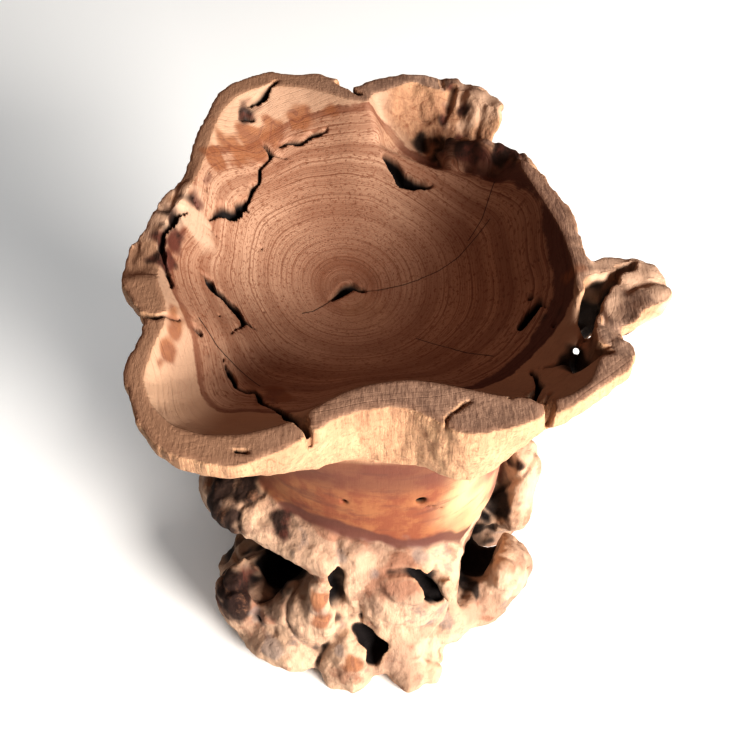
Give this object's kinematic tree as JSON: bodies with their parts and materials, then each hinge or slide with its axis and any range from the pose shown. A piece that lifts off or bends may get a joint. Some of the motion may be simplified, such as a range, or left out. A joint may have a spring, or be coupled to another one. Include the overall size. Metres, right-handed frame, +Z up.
{
  "type": "carved burl pedestal bowl",
  "caption": "One-piece carved burl bowl with a lobed natural rim on a smooth neck and a gnarled root foot.",
  "frame": {"origin": "on the sawn underside of the foot, on the neck's vertical line, where the burl rests", "axes": "+Z up, normal to the sawn rim; -Y towards the scalloped front of the rim; +X towards the ear"},
  "size_m": [0.298, 0.3162, 0.3],
  "materials": {
    "burl_wood": "satin oiled heartwood in the bowl and on the neck, dry cream sapwood on the outer walls and the foot"
  },
  "bodies": {
    "root": {"burl_bowl": "burl_wood"}
  },
  "joints": []
}
